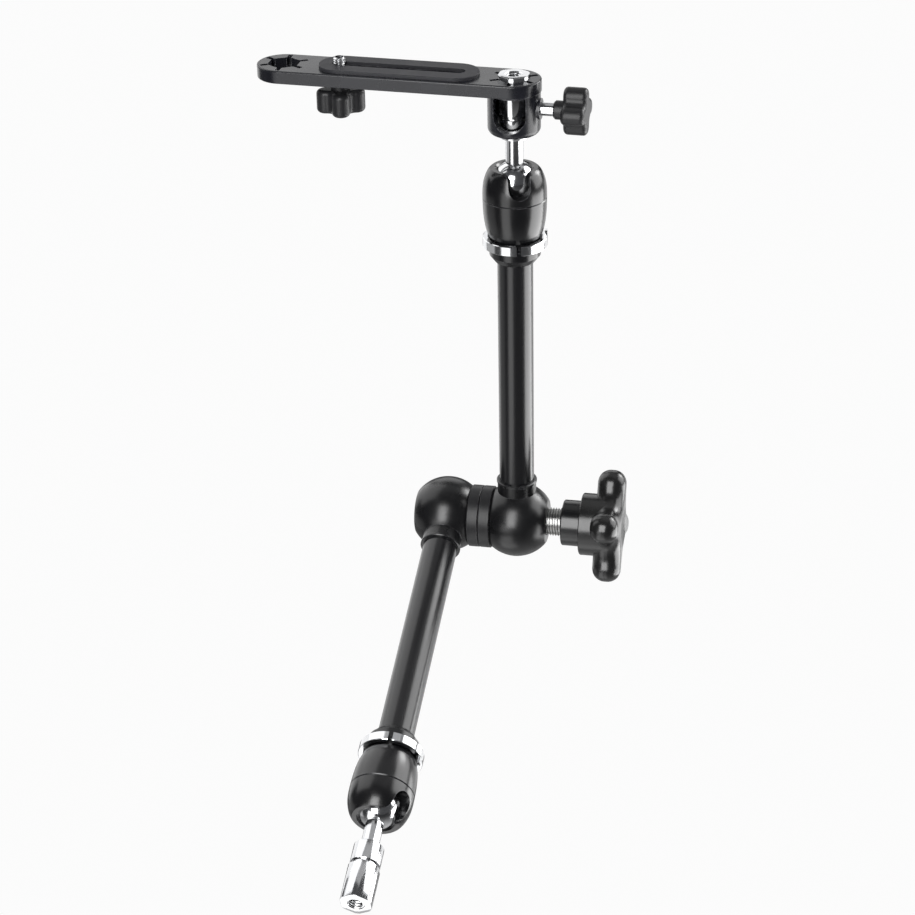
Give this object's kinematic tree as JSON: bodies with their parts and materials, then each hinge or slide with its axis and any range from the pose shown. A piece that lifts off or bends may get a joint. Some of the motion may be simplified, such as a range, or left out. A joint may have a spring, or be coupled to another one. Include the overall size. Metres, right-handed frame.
{
  "type": "camera mounting arm",
  "caption": "Articulated friction arm with ball studs at both ends, a locking elbow knob and a slotted camera bracket with a screw.",
  "frame": {"origin": "middle of the threaded hole in the end of the lower ball stud, the end that a stand holds", "axes": "+X along the elbow axis towards the palm knob, +Z along the upper section towards the bracket, +Y away from the viewer of the picture"},
  "size_m": [0.2013, 0.2817, 0.3676],
  "materials": {
    "black_alloy": "satin black anodised and painted alloy",
    "chrome_steel": "bright chromed steel",
    "bolt_steel": "plain turned steel",
    "black_plastic": "black moulded plastic",
    "pad_rubber": "dark grey rubber"
  },
  "bodies": {
    "base_stud": {"lower_stud": "chrome_steel"},
    "lower_socket": {"lower_cap": "black_alloy", "lower_barrel": "black_alloy"},
    "lower_arm": {"lower_collar": "black_alloy", "lower_ring": "chrome_steel", "lower_tube": "black_alloy", "lower_seat": "bolt_steel", "lower_rod": "bolt_steel", "lower_elbow": "black_alloy", "lower_disc": "black_alloy", "elbow_bolt": "bolt_steel"},
    "thrust": {"thrust_collar": "black_alloy"},
    "palm": {"palm_knob": "black_plastic"},
    "upper_arm": {"upper_disc": "black_alloy", "upper_elbow": "black_alloy", "upper_tube": "black_alloy", "upper_rod": "bolt_steel", "upper_seat": "bolt_steel", "upper_collar": "black_alloy", "upper_ring": "chrome_steel"},
    "upper_socket": {"upper_cap": "black_alloy", "upper_barrel": "black_alloy"},
    "head": {"upper_stud": "chrome_steel", "bracket": "black_alloy", "pad": "pad_rubber"},
    "screw_carrier": {"camera_washer": "chrome_steel"},
    "camera_screw": {"camera_screw": "chrome_steel", "camera_knob": "black_plastic"},
    "clamp_foot": {"clamp_pad": "chrome_steel"},
    "clamp_screw": {"clamp_screw": "bolt_steel", "clamp_knob": "black_plastic"}
  },
  "joints": [
    {"name": "lower_tilt", "type": "hinge", "parent": "base_stud", "child": "lower_socket", "pos_m": [0, 0.04971, 0.01809], "axis": [0.5075, 0.2947, -0.8097], "range_deg": [-25, 90]},
    {"name": "lower_swivel", "type": "hinge", "parent": "lower_socket", "child": "lower_arm", "pos_m": [0, 0.07367, 0.02681], "axis": [0, -0.9397, -0.342], "continuous": true},
    {"name": "elbow", "type": "hinge", "parent": "lower_arm", "child": "upper_arm", "pos_m": [0.02, 0.24282, 0.08838], "axis": [1, 0, 0], "range_deg": [-180, 40]},
    {"name": "upper_swivel", "type": "hinge", "parent": "upper_arm", "child": "upper_socket", "pos_m": [0.04, 0.24282, 0.26838], "axis": [0, 0, 1], "continuous": true},
    {"name": "upper_tilt", "type": "hinge", "parent": "upper_socket", "child": "head", "pos_m": [0.04, 0.24282, 0.29388], "axis": [0.9426, 0.3338, 0], "range_deg": [-25, 90]},
    {"name": "thrust_slide", "type": "slide", "parent": "lower_arm", "child": "thrust", "axis": [1, 0, 0], "range_m": [-0.004, 0.004]},
    {"name": "palm_turn", "type": "hinge", "parent": "thrust", "child": "palm", "pos_m": [0.093, 0.24282, 0.08838], "axis": [1, 0, 0], "range_deg": [-730, 730]},
    {"name": "camera_slide", "type": "slide", "parent": "head", "child": "screw_carrier", "axis": [0.9986, -0.0523, 0], "range_m": [-0.0008, 0.0645]},
    {"name": "camera_turn", "type": "hinge", "parent": "screw_carrier", "child": "camera_screw", "pos_m": [-0.05487, 0.24779, 0.34338], "axis": [0, 0, 1], "continuous": true},
    {"name": "clamp_slide", "type": "slide", "parent": "head", "child": "clamp_foot", "axis": [0.9986, -0.0523, 0], "range_m": [0, 0.003]},
    {"name": "clamp_turn", "type": "hinge", "parent": "clamp_foot", "child": "clamp_screw", "pos_m": [0.06996, 0.24125, 0.33538], "axis": [0.9986, -0.0523, 0], "range_deg": [-10, 1100]}
  ],
  "couplings": [
    {"joint": "palm_turn", "follows": "thrust_slide", "rad_per_m": 3141.6},
    {"joint": "clamp_turn", "follows": "clamp_slide", "rad_per_m": 6283.2}
  ]
}
